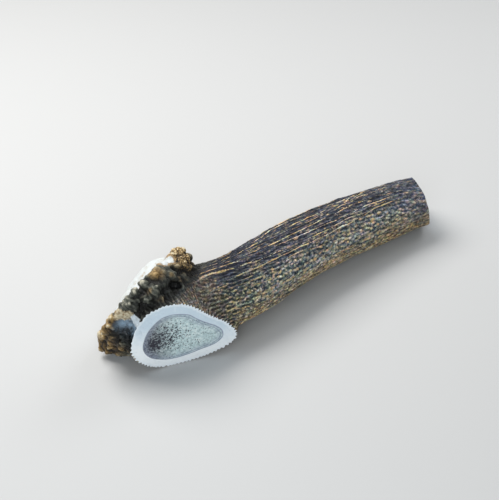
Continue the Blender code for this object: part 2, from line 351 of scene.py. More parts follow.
@dataclass(frozen=True)
class SawCut:
    """A flat sawn face: its plane, the core's outline on it and the pores in the core."""

    origin: Vector
    normal: Vector
    core: np.ndarray
    crowds: tuple[Crowd, ...]
    pore_radii: Span = (0.14, 0.40)
    pore_depth: float = 0.5
    # How many of its radii a pore reaches out, and how far inside the core the pores reach their full depth.
    pore_reach: float = 1.25
    pore_fade: float = 0.8
    net_step: float = 0.42
    # How many steps of the net stay clear of the border.
    net_margin: float = 0.6
    # The least distance in the plane between two of the net's points.
    net_merge: float = 1e-7
    seed: int = 3

    def height(self, points: np.ndarray) -> np.ndarray:
        """How far each point is past the plane, in mm."""
        return (points - np.array(self.origin)) @ np.array(self.normal)

    def flat(self, points: np.ndarray) -> np.ndarray:
        """The points' level and climbing distances from the origin, in mm."""
        axes = np.array([list(axis) for axis in plane_axes(self.normal)])
        return (points - np.array(self.origin)) @ axes.T

    def spot(self, flat: Sequence[float], sink: float = 0.0) -> Vector:
        """The point at a place in the plane, sunk below it."""
        level, climbing = plane_axes(self.normal)
        return self.origin + level * flat[0] + climbing * flat[1] - self.normal * sink

    def core_depth(self, flat: np.ndarray) -> np.ndarray:
        """How far inside the core each place is, and below zero outside it.

        Args:
            flat: The places in the plane, one to a row.

        Returns:
            The depth of each, in mm.
        """
        number = len(self.core)
        pairs = np.stack([np.arange(number), (np.arange(number) + 1) % number], axis=1)
        border = Border(self.core, pairs)
        distance = border.distance(flat)
        return np.where(border.holds(flat), distance, -distance)

    def sinks(self, flat: np.ndarray, depth: np.ndarray) -> np.ndarray:
        """How deep the pores are at each place, from 0 to 1.

        Args:
            flat: The places in the plane.
            depth: How far inside the core they are.

        Returns:
            The share of a pore's full depth.
        """
        dice = np.random.default_rng(self.seed)
        crowds = [dice.normal(middle, spread, (number, 2)) for middle, spread, number in self.crowds]
        middles = np.vstack(crowds)
        found = np.zeros(len(flat))
        for middle, radius in zip(middles, dice.uniform(*self.pore_radii, len(middles))):
            away = np.linalg.norm(flat - middle, axis=1) / radius
            found = np.maximum(found, np.clip(self.pore_reach - away, 0, 1))
        return found * np.clip(depth / self.pore_fade, 0, 1)

    def net(self, border: Border) -> np.ndarray:
        """Points of an even net inside a border.

        Args:
            border: The border.

        Returns:
            The points that lie inside and clear of the border.
        """
        low, high = border.points.min(axis=0), border.points.max(axis=0)
        rows = np.arange(low[1], high[1], self.net_step * math.sqrt(3) / 2)
        columns = np.arange(low[0], high[0], self.net_step)
        x, y = np.meshgrid(columns, rows)
        x = x + (np.arange(len(rows)) % 2)[:, None] * self.net_step / 2
        found = np.stack([x.ravel(), y.ravel()], axis=1)
        found = found[border.holds(found)]
        return found[border.distance(found) > self.net_step * self.net_margin]

    def close(self, bm: bmesh.types.BMesh) -> None:
        """Saws a skin at the plane and closes it with a flat net of small triangles.

        Args:
            bm: The skin, with float layers for the core, the rim and the pores.
        """
        everything = bm.verts[:] + bm.edges[:] + bm.faces[:]
        bmesh.ops.bisect_plane(
            bm, geom=everything, plane_co=self.origin * MM, plane_no=self.normal, clear_outer=True
        )
        edges = [e for e in bm.edges if e.is_boundary]
        rim_verts = list(dict.fromkeys(v for e in edges for v in e.verts))
        index = {v: i for i, v in enumerate(rim_verts)}
        pairs = np.array([[index[v] for v in e.verts] for e in edges])
        border = Border(self.flat(np.array([v.co for v in rim_verts]) / MM), pairs)
        places = [Vector(p) for p in np.vstack([border.points, self.net(border)])]
        made = delaunay_2d_cdt(places, pairs.tolist(), [], 1, self.net_merge)
        flat = np.array([list(p) for p in made[0]])
        depth = self.core_depth(flat)
        sinks = self.sinks(flat, depth)
        rim = border.distance(flat)
        names = (Layer.CORE, Layer.RIM, Layer.PORE)
        layers = [bm.verts.layers.float[name.value] for name in names]
        verts = []
        for i, sources in enumerate(made[3]):
            old = [j for j in sources if j < len(rim_verts)]
            sink = sinks[i] * self.pore_depth
            vert = rim_verts[old[0]] if old else bm.verts.new(self.spot(flat[i], sink) * MM)
            for layer, value in zip(layers, (depth[i], rim[i], sinks[i])):
                vert[layer] = value
            verts.append(vert)
        for corners in made[2]:
            face = bm.faces.new([verts[i] for i in corners])
            face.material_index = Face.SAWN.value
            face.normal_update()
            if face.normal.dot(self.normal) < 0:
                face.normal_flip()
        for edge in edges:
            edge.smooth = False


def mount_plane(name: str) -> tuple[Vector, Vector]:
    """The place in mm and the normal of one of the record's flat faces."""
    mount = next(m for m in frame["record"]["mounts"] if m["name"] == name)
    return Vector(mount["pos_m"]) / MM, Vector(mount["axis"]).normalized()


def tine_cut() -> SawCut:
    """The sawn face of the brow tine, measured from its foot on the floor.

    Returns:
        The face.
    """
    place, normal = mount_plane("tine_cut")
    foot = Vector((-79.17, -14.94, 0.07))
    origin = foot - normal * (foot - place).dot(normal)
    core = (
        (-8.7, 16.5), (-6.7, 24.4), (-2.6, 30.0), (1.9, 33.1), (7.7, 33.2), (13.9, 31.0), (18.0, 27.0),
        (22.8, 22.9), (27.3, 19.4), (30.4, 15.2), (30.3, 10.6), (26.4, 7.4), (19.6, 6.0), (12.0, 4.6),
        (4.4, 4.4), (-3.0, 6.9), (-7.0, 10.8),
    )
    crowds = (
        ((-3.4, 16.6), (2.0, 2.7), 310),
        ((1.5, 19.5), (4.6, 4.4), 380),
        ((7.0, 17.5), (7.0, 6.0), 240),
    )
    return SawCut(origin, normal, smooth_loop(core, 6), crowds)


def beam_cut() -> SawCut:
    """The sawn end of the beam, measured from its middle, with an uneven round core.

    Returns:
        The face.
    """
    place, normal = mount_plane("beam_cut")
    core_radius = 9.0
    turns = np.linspace(0, 2 * math.pi, 48, endpoint=False)
    uneven = 1 + 0.09 * np.sin(2 * turns + 0.6) + 0.05 * np.sin(3 * turns) + 0.03 * np.sin(5 * turns + 2.0)
    radius = core_radius * uneven
    core = np.stack([np.cos(turns) * radius, np.sin(turns) * radius], axis=1)
    crowds = (((-1.0, 0.8), (3.2, 3.0), 170), ((0.5, 0.0), (5.5, 5.5), 330))
    return SawCut(place, normal, core, crowds, pore_radii=(0.12, 0.30))


@dataclass(frozen=True)
class Burr:
    """The ring of pearls round the antler's base."""

    centre: Vector = Vector((-76.6, 8.2, 27.05))
    axis: Vector = Vector((-0.3987, 0.7412, 0.5399))
    # Waves round the ring, angle where they start, and their share of its radius.
    swell: Rows = ((1, -40.0, 0.08), (2, -210.0, 0.025), (5, 120.0, 0.02))
    rim_rise: float = 3.2
    rim_rise_angle: float = 26.0
    rim_rise_power: int = 4
    rim_rise_ends: Span = (5.0, 13.0)
    # Distance below the rim and from the axis, radius, number in a full ring, first and last angle.
    rows: Rows = (
        (2.0, 25.4, 2.4, 30, 0.0, 360.0),
        (6.4, 26.0, 2.5, 29, 0.0, 360.0),
        (10.4, 24.4, 2.2, 27, -35.0, 150.0),
        (14.0, 23.0, 1.9, 26, -25.0, 125.0),
    )
    # How far a pearl strays: in steps round the ring, along its axis and outwards; and its relative size.
    stray: tuple[float, float, float] = (0.5, 0.9, 0.8)
    sizes: Span = (0.8, 1.2)
    # Angle, distance from the axis, distance below the rim, radius.
    knobs: Rows = (
        (84.0, 25.6, 2.4, 3.9),
        (132.0, 27.4, 2.2, 3.7),
        (137.0, 25.6, 6.4, 3.2),
        (126.0, 25.2, 8.8, 2.7),
        (304.0, 24.4, 3.6, 6.2),
        (309.0, 22.5, 10.0, 4.7),
        (320.0, 21.6, 6.0, 4.8),
    )
    seed: int = 5
    # The hollow beside the tine, where no pearl stands, and the smooth lump below it.
    hollow: Vector = Vector((-94.5, -12.2, 27.3))
    hollow_bare: float = 5.6
    lump_middle: Vector = Vector((-98.5, 3.0, 14.0))
    lump_bare: float = 10.0
    # Lumpiness of a pearl: the share of its radius, and the size of the lumps.
    lump: float = 0.42
    lump_size: float = 2.3
    # Granules between the pearls: their number, their sizes and how far they stand out.
    granules: int = 420
    granule_sizes: Span = (0.7, 1.5)
    granule_out: float = 0.8
    # Distances below the rim, and the ring's radius there.
    flank: Rows = ((0.5, 3.5, 7.0, 10.5, 16.0), (23.6, 26.2, 25.2, 22.6, 19.8))

    def spot(self, angle: float, below: float, out: float) -> Vector:
        """A point by its place round the ring.

        Args:
            angle: The angle round the ring, in radians.
            below: The distance below the rim, in mm.
            out: The distance from the axis, in mm.

        Returns:
            The point.
        """
        level, climbing = plane_axes(self.axis)
        spoke = level * math.cos(angle) + climbing * math.sin(angle)
        return self.centre + spoke * out - self.axis * below

    def rim_spot(self, angle: float, below: float, out: float) -> Vector:
        """A point of the ring, which is uneven and climbs on one side.

        Args:
            angle: The angle round the ring, in radians.
            below: The distance below the rim, in mm.
            out: The distance from the axis on an even ring, in mm.

        Returns:
            The point.
        """
        swell = 1.0
        for waves, start, share in self.swell:
            swell += share * math.sin(waves * angle + math.radians(start))
        nearness = (1 + math.cos(angle - math.radians(self.rim_rise_angle))) / 2
        fade = np.interp(below, self.rim_rise_ends, (1.0, 0.0))
        rise = self.rim_rise * nearness**self.rim_rise_power * fade
        return self.spot(angle, below - rise, out * swell)

    def pearls(self) -> list[tuple[Vector, float]]:
        """Every pearl and knob, where the solid has them, and the granules between them.

        Returns:
            The middle and radius of each, in mm.
        """
        dice = np.random.default_rng(self.seed)
        step_stray, axis_stray, out_stray = self.stray
        found = []
        for below, out, radius, number, first, last in self.rows:
            step = 2 * math.pi / number
            for i in range(round(number * (last - first) / 360)):
                angle = math.radians(first) + step * (i + step_stray * dice.random())
                lower = below + dice.uniform(-axis_stray, axis_stray)
                further = out + dice.uniform(-out_stray, out_stray)
                spot = self.rim_spot(angle, lower, further)
                size = radius * dice.uniform(*self.sizes)
                if (spot - self.hollow).length > self.hollow_bare:
                    found.append((spot, size))
        for _ in range(self.granules):
            below = dice.uniform(self.flank[0][0], self.flank[0][-1])
            out = np.interp(below, *self.flank) + dice.uniform(0.0, self.granule_out)
            spot = self.rim_spot(dice.uniform(0, 2 * math.pi), below, out)
            size = dice.uniform(*self.granule_sizes)
            bare = (spot - self.hollow).length < self.hollow_bare
            if not bare and (spot - self.lump_middle).length > self.lump_bare:
                found.append((spot, size))
        return found + [(self.knob_spot(knob), knob[3]) for knob in self.knobs]

    def knob_spot(self, knob: Sequence[float]) -> Vector:
        """The middle of a knob."""
        return self.spot(math.radians(knob[0]), knob[2], knob[1])

    def build(self) -> bpy.types.Object:
        """Models one pearl, and copies it, each copy lumpy in its own way.

        Returns:
            One object with every pearl, as closed shells that overlap.
        """
        bpy.ops.object.select_all(action="DESELECT")
        bpy.ops.mesh.primitive_ico_sphere_add(subdivisions=4, radius=1.0, location=(0, 0, 0))
        model = bpy.context.object
        ball = points_of(model.data) * MM
        copies = []
        for middle, radius in self.pearls():
            copy = model.copy()
            copy.data = model.data.copy()
            bpy.context.scene.collection.objects.link(copy)
            places = ball * radius + np.array(middle)
            lumps = rough_at(places, self.lump_size) * self.lump * radius
            move_points(copy.data, places + ball * lumps[:, None])
            copies.append(copy)
        bpy.data.objects.remove(model)
        return join(copies)

    def below_rim(self, points: np.ndarray) -> np.ndarray:
        """How far each point is below the plane of the rim, in mm."""
        return (np.array(self.centre) - points) @ np.array(self.axis)

    def from_axis(self, points: np.ndarray) -> np.ndarray:
        """How far each point is from the ring's axis.

        Args:
            points: The points in mm, one to a row.

        Returns:
            The distances in mm.
        """
        offsets = points - np.array(self.centre)
        along = offsets @ np.array(self.axis)
        return np.linalg.norm(offsets - along[:, None] * np.array(self.axis), axis=1)


class BeamLine:
    """The beam's middle line, read from slices of its solid."""

    FIRST, LAST, SLICES, HALF_SLICE = -45.0, 88.0, 12, 4.0
    DEGREE = 3

    def __init__(self, points: np.ndarray) -> None:
        """Fits the line.

        Args:
            points: The beam's points in mm, one to a row.
        """
        stations = np.linspace(self.FIRST, self.LAST, self.SLICES)
        slices = [points[np.abs(points[:, 0] - station) < self.HALF_SLICE] for station in stations]
        middles = np.array([(ring.min(axis=0) + ring.max(axis=0)) / 2 for ring in slices])
        self.curves = [np.polyfit(stations, middles[:, axis], self.DEGREE) for axis in (1, 2)]

    def unbend(self, points: np.ndarray) -> np.ndarray:
        """Measures points as if the beam were straight.

        Args:
            points: The points in mm, one to a row.

        Returns:
            Two distances from the beam's middle line, and x, in mm.
        """
        held = np.clip(points[:, 0], self.FIRST, self.LAST)
        y, z = (np.polyval(curve, held) for curve in self.curves)
        return np.stack([points[:, 1] - y, points[:, 2] - z, points[:, 0]], axis=1)

    def direction(self, points: np.ndarray) -> np.ndarray:
        """The beam's direction beside each point.

        Args:
            points: The points in mm, one to a row.

        Returns:
            Unit vectors, one to a row.
        """
        held = np.clip(points[:, 0], self.FIRST, self.LAST)
        slopes = [np.polyval(np.polyder(curve), held) for curve in self.curves]
        found = np.stack([np.ones(len(points)), *slopes], axis=1)
        return found / np.linalg.norm(found, axis=1, keepdims=True)


@dataclass
class Surface:
    """The skin's points with their normals and near neighbours, for growing things over it."""

    points: np.ndarray
    normals: np.ndarray
    number: int = 46
    neighbours: np.ndarray = field(init=False)
    agreement: np.ndarray = field(init=False)
    offsets: np.ndarray = field(init=False)

    def __post_init__(self) -> None:
        """Finds each point's neighbours."""
        tree = KDTree(len(self.points))
        for i, point in enumerate(self.points):
            tree.insert(point, i)
        tree.balance()
        rows = [[found[1] for found in tree.find_n(point, self.number)] for point in self.points]
        self.neighbours = np.array(rows, np.int32)
        facing = np.einsum("ijk,ik->ij", self.normals[self.neighbours], self.normals)
        self.agreement = np.clip(facing, 0, 1).astype(np.float32)
        self.offsets = (self.points[self.neighbours] - self.points[:, None]).astype(np.float32)

    def kernel(self, grain: np.ndarray, along: np.ndarray, across: np.ndarray) -> np.ndarray:
        """Weights over the neighbours, longer along the grain than across it.

        Args:
            grain: The grain's direction at each point.
            along: The kernel's spread along the grain, in mm.
            across: Its spread across it, in mm.

        Returns:
            One weight for each neighbour, which add up to 1 at each point.
        """
        side = np.cross(self.normals, grain)
        a = np.einsum("ijk,ik->ij", self.offsets, grain.astype(np.float32)) / along[:, None]
        c = np.einsum("ijk,ik->ij", self.offsets, side.astype(np.float32)) / across[:, None]
        weights = np.exp(-(a * a + c * c) / 2) * self.agreement
        return (weights / weights.sum(axis=1, keepdims=True)).astype(np.float32)

    def spread(self, weights: np.ndarray, values: np.ndarray) -> np.ndarray:
        """The weighted mean of the neighbours' values at each point."""
        return np.einsum("ij,ij->i", weights, values[self.neighbours])

    def relief(self, reach: float, rounds: int) -> np.ndarray:
        """How far each point stands above a smoothed surface.

        Args:
            reach: The spread of one round of smoothing, in mm.
            rounds: How many rounds.

        Returns:
            The height at each point, in mm.
        """
        even = np.full(len(self.points), reach)
        any_way = np.cross(self.normals, (0.3, 0.5, 0.8))
        weights = self.kernel(any_way, even, even)
        level = self.points.astype(np.float32)
        for _ in range(rounds):
            level = np.stack([self.spread(weights, level[:, axis]) for axis in range(3)], axis=1)
        return np.einsum("ij,ij->i", self.points - level, self.normals)


@dataclass(frozen=True)
class RidgeGrowth:
    """How ridges grow: what is alike draws together nearby and pushes away what is further across."""

    # How many times further the far kernel spreads across the ridges, and how hard it pushes.
    far: float = 2.1
    push: float = 0.94
    # How sharply a point turns to crest or furrow in a round, and the number of rounds.
    gain: float = 5.0
    rounds: int = 22
    # The percentile of the heights that counts as a full crest.
    full_crest: float = 95
    seed: int = 11

    def grow(
        self,
        surface: Surface,
        grain: np.ndarray,
        width: np.ndarray,
        stretch: np.ndarray,
        scarcity: np.ndarray,
    ) -> np.ndarray:
        """Grows ridges from a random start.

        Args:
            surface: The points to grow over.
            grain: The direction that they follow.
            width: The near kernel's spread across the grain; a ridge and furrow take about 6.7 of it.
            stretch: How many times longer than wide the kernel is.
            scarcity: How much is taken from the growth, which turns ridges into scattered granules.

        Returns:
            Their height at each point, about -1 in a furrow and 1 on a crest.
        """
        near = surface.kernel(grain, width * stretch, width)
        far = surface.kernel(grain, width * np.maximum(stretch, self.far), width * self.far)
        height = np.random.default_rng(self.seed).standard_normal(len(grain)).astype(np.float32)
        for _ in range(self.rounds):
            pull = surface.spread(near, height) - self.push * surface.spread(far, height)
            height = np.tanh(self.gain * pull - scarcity)
        height = surface.spread(near, height)
        return height / np.percentile(np.abs(height), self.full_crest)


@dataclass(frozen=True)
class Zones:
    """The share of each kind of surface at every point, from 0 to 1."""

    unbent: np.ndarray
    lines: np.ndarray
    under: np.ndarray
    far: np.ndarray
    fork: np.ndarray
    fan: np.ndarray
    tine_end: np.ndarray
    burr: np.ndarray
    seal: np.ndarray
    knob: np.ndarray
    honey: np.ndarray
    hollow: np.ndarray
    flake: np.ndarray
    ledge: np.ndarray
    pit: np.ndarray
    tone: np.ndarray

    # Spots with their reach: bare bone where the saw grazed the burr, and a pale ledge beside it.
    FLAKE_SPOTS = ((Vector((-89.6, -13.6, 32.2)), 3.6), (Vector((-90.6, -13.2, 33.2)), 3.6))
    LEDGE_SPOTS = ((Vector((-92.4, -10.8, 34.6)), 4.6), (Vector((-95.2, -8.2, 34.8)), 4.6))
    # A pit between the burr and the beam, wider than it is high.
    PIT_SPOTS = (
        (Vector((-68.0, -12.5, 42.6)), 2.2),
        (Vector((-66.9, -13.3, 42.6)), 2.2),
        (Vector((-65.8, -14.1, 42.5)), 2.2),
    )
    # The seal spills over the rim beside the knob.
    SEAL_SPOTS = (
        (Vector((-67.6, -2.9, 49.8)), 4.6),
        (Vector((-64.0, -1.5, 48.6)), 4.6),
        (Vector((-65.5, 2.0, 47.5)), 4.6),
    )
    # Brown spots of the burr, and its golden knob.
    BROWN_SPOTS = (
        (Vector((-98.0, 6.0, 10.0)), 13.0),
        (Vector((-99.0, -1.0, 17.0)), 11.0),
        (Vector((-97.5, -5.0, 12.0)), 10.0),
        (Vector((-99.5, -3.0, 27.2)), 6.0),
        (Vector((-97.9, -5.8, 31.2)), 5.0),
        (Vector((-74.4, -8.6, 49.0)), 5.0),
    )
    KNOB = (Vector((-57.0, 1.0, 46.0)), 14.0)
    HOLLOW_REACH = 8.5
    # The ways that the long lines of the beam and its painted-shade edge face, round its middle line.
    LINES_FACING = math.radians(80.0)
    EDGE_FACING = math.radians(50.0)
    # Where each zone starts and where it is full, in mm: along x, over the floor, below the burr's rim, from
    # its axis, and behind the tine's sawn face.
    FAR_X = (62, 84)
    LINES_X = (-66, -52)
    FORK_X, FORK_END_X = (-58, -46), (-16, -34)
    FAN_X, FAN_HEIGHT, FAN_BEHIND = (-40, -54), (14, 24), (22, 13)
    TINE_END_BEHIND = (9, 2)
    BURR_BELOW, BURR_OUT = (18, 13.5), (18, 22)
    SEAL_BELOW, SEAL_OUT = (2.5, 0.8), (24.5, 22.0)
    UNDER_HEIGHT = (23, 9)
    DUSK_X = (-8, -36)

    @classmethod
    def over(cls, points: np.ndarray, burr: Burr, tine: SawCut, line: BeamLine) -> "Zones":
        """Works out the zones.

        Args:
            points: The skin's points in mm, one to a row.
            burr: The burr.
            tine: The tine's sawn face.
            line: The beam's middle line.

        Returns:
            The zones.
        """
        unbent = line.unbend(points)
        x = points[:, 0]
        below, out = burr.below_rim(points), burr.from_axis(points)
        behind = -tine.height(points)
        facing = np.arctan2(unbent[:, 1], unbent[:, 0])
        top = np.cos(facing - cls.LINES_FACING)
        back = np.cos(facing)
        edge = np.cos(facing - cls.EDGE_FACING)
        far = ease(x, *cls.FAR_X)
        in_burr = ease(below, *cls.BURR_BELOW) * ease(out, *cls.BURR_OUT)
        in_seal = ease(below, *cls.SEAL_BELOW) * ease(out + 1.6 * rough_at(points, 4.0), *cls.SEAL_OUT)
        in_lines = np.maximum(ease(top, 0.25, 0.9), 0.8 * ease(back, -0.1, 0.5))
        in_fan = ease(behind, *cls.FAN_BEHIND) * ease(x, *cls.FAN_X)
        knob = near_spot(points, *cls.KNOB)
        # The beam's flank is paler, a painted sheen, its top near the fork darker, and one edge darker all
        # along, painted shade.
        lit_flank = 0.12 * ease(top, 0.95, 0.35)
        dusk = 0.22 * ease(top, 0.0, 0.8) * ease(x, *cls.DUSK_X)
        painted_edge_shade = 0.11 * ease(edge, 0.88, 1.0)
        return cls(
            unbent=unbent,
            lines=in_lines * ease(x, *cls.LINES_X) * (1 - 0.6 * far),
            under=ease(points[:, 2] + 5.0 * rough_at(unbent * (1, 1, 0.3), 6.0), *cls.UNDER_HEIGHT),
            far=far,
            fork=ease(x, *cls.FORK_X) * ease(x, *cls.FORK_END_X) * ease(top, 0.75, 0.2),
            fan=in_fan * (1 - in_burr) * ease(points[:, 2], *cls.FAN_HEIGHT),
            tine_end=ease(behind, *cls.TINE_END_BEHIND),
            burr=in_burr,
            seal=np.maximum(in_seal, near_spots(points, cls.SEAL_SPOTS)),
            knob=knob * in_burr,
            honey=np.maximum(knob, near_spots(points, cls.BROWN_SPOTS)) * in_burr,
            hollow=near_spot(points, burr.hollow, cls.HOLLOW_REACH),
            flake=near_spots(points, cls.FLAKE_SPOTS),
            ledge=near_spots(points, cls.LEDGE_SPOTS),
            pit=near_spots(points, cls.PIT_SPOTS),
            tone=lit_flank - dusk - painted_edge_shade,
        )

    @property
    def beam(self) -> np.ndarray:
        """The share of the skin's own ridges, clear of the burr and of the tine's sawn edge."""
        return (1 - self.burr) * (1 - self.tine_end)

    def layers(self) -> dict[Layer, np.ndarray]:
        """The zones that the finishes read: each such layer has its zone's name."""
        return {layer: getattr(self, layer.value) for layer in Layer if hasattr(self, layer.value)}


@dataclass
class AntlerSkin:
    """The antler's one continuous skin."""

    burr: Burr
    tine: SawCut
    end: SawCut
    # How far the form is lengthened past its sawn faces, how far it is swollen before it is fused, and how
    # near to each other its points are welded.
    spare: float = 2.5
    swell: float = 0.25
    weld: float = 0.01
    # A face of the solids is a sawn one within this distance of the plane and when it faces out this well.
    sawn_slack: float = 0.1
    sawn_facing: float = 0.99
    form_voxel: float = 0.9
    form_smoothing: int = 8
    skin_voxel: float = 0.5
    skin_smoothing: int = 2
    triangles: int = 166_000
    # The ridges: the near kernel's spread across them, its stretch on granules, what long lines add to it,
    # and how far granules are thinned out.
    ridge_width: float = 0.25
    granule_stretch: float = 1.2
    line_stretch: float = 1.5
    scarcity: float = 0.35
    # The coarser cords: how many times wider they are, and their seed.
    cord_width: float = 1.9
    cord_seed: int = 12
    ridge_height: float = 0.34
    vein_height: float = 0.30
    wave_height: float = 0.36
    pit_depth: float = 1.8
    # What relief is measured over: the spread of one round of smoothing, and the number of rounds.
    relief_reach: float = 1.2
    relief_rounds: int = 14
    # How far the ridges turn round the beam, in radians.
    twist: float = -0.08
    floor_gap: float = 0.02

    def build(self) -> bpy.types.Object:
        """Builds the skin.

        Returns:
            The finished skin, without its materials.
        """
        skin = self.fused_form()
        skin = join([skin, self.burr.build()])
        self.fuse(skin, self.skin_voxel, self.skin_smoothing)
        self.drop_bubbles(skin)
        self.grow_ridges(skin)
        share = self.triangles / (2 * len(skin.data.polygons))
        apply_modifier(skin, "thin", "DECIMATE", ratio=share)
        self.saw_off(skin)
        return skin

    def fused_form(self) -> bpy.types.Object:
        """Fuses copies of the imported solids, with a little to spare past the sawn faces.

        Returns:
            The whole form in one shell.
        """
        copies = []
        for node in frame["nodes"].values():
            copy = node.copy()
            copy.data = node.data.copy()
            copy.parent = None
            bpy.context.scene.collection.objects.link(copy)
            for key in list(copy.keys()):
                del copy[key]
            choose(copy)
            bpy.ops.object.mode_set(mode="EDIT")
            bpy.ops.mesh.select_all(action="SELECT")
            bpy.ops.mesh.remove_doubles(threshold=self.weld * MM)
            bpy.ops.transform.shrink_fatten(value=self.swell * MM)
            for cut in (self.tine, self.end):
                self.lengthen(copy, cut)
            bpy.ops.object.mode_set(mode="OBJECT")
            copies.append(copy)
        form = join(copies)
        form.name = form.data.name = "antler_skin"
        form.data.materials.clear()
        self.fuse(form, self.form_voxel, self.form_smoothing)
        return form

    @staticmethod
    def fuse(form: bpy.types.Object, voxel: float, rounds: int) -> None:
        """Fuses a form's shells into one by voxels of a size in mm, and softens their steps."""
        apply_modifier(form, "fuse", "REMESH", mode="VOXEL", voxel_size=voxel * MM)
        apply_modifier(form, "soften", "SMOOTH", factor=0.5, iterations=rounds)

    def lengthen(self, copy: bpy.types.Object, cut: SawCut) -> None:
        """Extrudes a sawn face outwards, in edit mode, so that the skin can be sawn there again.

        Args:
            copy: The copy of a solid, in edit mode.
            cut: The face.
        """
        bpy.context.tool_settings.mesh_select_mode = (False, False, True)
        bpy.ops.mesh.select_all(action="DESELECT")
        bm = bmesh.from_edit_mesh(copy.data)
        for face in bm.faces:
            past = (face.calc_center_median() / MM - cut.origin).dot(cut.normal)
            on_plane = abs(past - self.swell) < self.sawn_slack
            face.select_set(on_plane and face.normal.dot(cut.normal) > self.sawn_facing)
        bmesh.update_edit_mesh(copy.data)
        if any(face.select for face in bm.faces):
            bpy.ops.mesh.extrude_region_move(TRANSFORM_OT_translate={"value": cut.normal * self.spare * MM})

    def drop_bubbles(self, skin: bpy.types.Object) -> None:
        """Removes small closed bubbles inside, and keeps the outer shell.

        Args:
            skin: The fused skin.
        """
        outermost = int(points_of(skin.data)[:, 0].argmax())
        choose(skin)
        bpy.ops.object.mode_set(mode="EDIT")
        bpy.context.tool_settings.mesh_select_mode = (True, False, False)
        bpy.ops.mesh.select_all(action="DESELECT")
        bm = bmesh.from_edit_mesh(skin.data)
        bm.verts.ensure_lookup_table()
        bm.verts[outermost].select_set(True)
        bmesh.update_edit_mesh(skin.data)
        bpy.ops.mesh.select_linked()
        bpy.ops.mesh.select_all(action="INVERT")
        bpy.ops.mesh.delete(type="VERT")
        bpy.ops.object.mode_set(mode="OBJECT")

    def grain(self, surface: Surface, line: BeamLine) -> tuple[np.ndarray, np.ndarray]:
        """The lines in which the antler grew, at each point.

        Args:
            surface: The skin's points.
            line: The beam's middle line.

        Returns:
            The grain's direction, and how sure it is, from 0 where ways cross to 1.
        """
        points, normals = surface.points, surface.normals
        behind = -self.tine.height(points)
        below = self.burr.below_rim(points)
        # Along the beam, out to the tine's sawn face and down from the burr, each strong near its own place.
        ways = (
            (line.direction(points), 0.05 + ease(points[:, 0], -66, -44)),
            (np.tile(self.tine.normal, (len(points), 1)), 0.9 * np.exp(-((behind / 6) ** 2))),
            (np.tile(self.burr.axis, (len(points), 1)), 1.2 * np.exp(-np.clip(below - 12, 0, None) / 9)),
        )
        first = np.cross(normals, (0.31, 0.52, 0.79))
        first /= np.linalg.norm(first, axis=1, keepdims=True)
        second = np.cross(normals, first)
        same, cross = np.zeros(len(points)), np.zeros(len(points))
        total = np.full(len(points), 1e-6)
        for way, weight in ways:
            a = np.einsum("ij,ij->i", way, first)
            b = np.einsum("ij,ij->i", way, second)
            same += weight * (a * a - b * b)
            cross += weight * 2 * a * b
            total += weight * (a * a + b * b)
        angle = np.arctan2(cross, same) / 2
        found = first * np.cos(angle)[:, None] + second * np.sin(angle)[:, None]
        return found, np.hypot(same, cross) / total

    def grow_ridges(self, skin: bpy.types.Object) -> None:
        """Grows the ridges and stores what the finishes read.

        Args:
            skin: The fine skin.
        """
        mesh = skin.data
        surface = Surface(points_of(mesh) - normals_of(mesh) * self.swell, normals_of(mesh))
        line = BeamLine(points_of(frame["nodes"]["beam"].data))
        zones = Zones.over(surface.points, self.burr, self.tine, line)
        LOG.info("the skin has %d points before its ridges", len(surface.points))
        grown = self.ridges(surface, zones, line)
        grown[Layer.RELIEF] = surface.relief(self.relief_reach, self.relief_rounds)
        height = self.heights(surface.points, zones, grown)
        moved = surface.points + surface.normals * height[:, None]
        moved[:, 2] = np.maximum(moved[:, 2], self.floor_gap)
        move_points(mesh, moved)
        grown[Layer.RELIEF] = grown[Layer.RELIEF] + height
        for layer, values in {**grown, **zones.layers()}.items():
            store(mesh, layer, values)

    def ridges(self, surface: Surface, zones: Zones, line: BeamLine) -> dict[Layer, np.ndarray]:
        """Grows the fine ridges and the coarser cords, and lays the veins.

        Args:
            surface: The skin's points.
            zones: Their zones.
            line: The beam's middle line.

        Returns:
            The ridges and cords, about -1 in a furrow and 1 on a crest, and how far the veins stray.
        """
        points = surface.points
        grain, sureness = self.grain(surface, line)
        bend = rough_at(zones.unbent * (1, 1, 0.6), 4.0)
        wobble = (self.twist + (0.2 + 0.9 * zones.fork) * bend) * zones.beam
        side = np.cross(surface.normals, grain)
        grain = grain * np.cos(wobble)[:, None] + side * np.sin(wobble)[:, None]
        # Wider far up the beam, on the burr and at the tine's sawn edge, and finer in the fork.
        width = self.ridge_width + 0.05 * zones.far + 0.05 * zones.burr + 0.04 * zones.tine_end
        width = width - 0.02 * zones.fork
        width = width + 0.04 * ease(points[:, 0], -5, 45)
        width = width * (1 + 0.3 * rough_at(points, 9.0))
        # Long ridges where the beam has lines, on the fan and at the tine's edge, and granules elsewhere.
        long = np.clip(zones.lines + zones.fan + zones.tine_end + 0.4 * zones.under, 0, 1) * (1 - zones.burr)
        long = long * (1 - 0.6 * zones.fork)
        stretch = self.granule_stretch + self.line_stretch * long * sureness**2
        scarcity = self.scarcity * (1 - long) * (1 - zones.fork)
        fine = RidgeGrowth().grow(surface, grain, width, stretch, scarcity)
        cords = RidgeGrowth(seed=self.cord_seed)
        cord = cords.grow(surface, grain, width * self.cord_width, stretch * 0.9, scarcity * 0.5)
        # The veins stray slowly along the beam, and a little more quickly in small bends.
        vein = 1.9 * rough_at(zones.unbent * (1, 1, 0.07), 7.0)
        vein = vein + 0.22 * rough_at(zones.unbent * (1, 1, 0.3), 2.6)
        return {Layer.CREST: fine, Layer.CORD: cord, Layer.VEIN: vein}

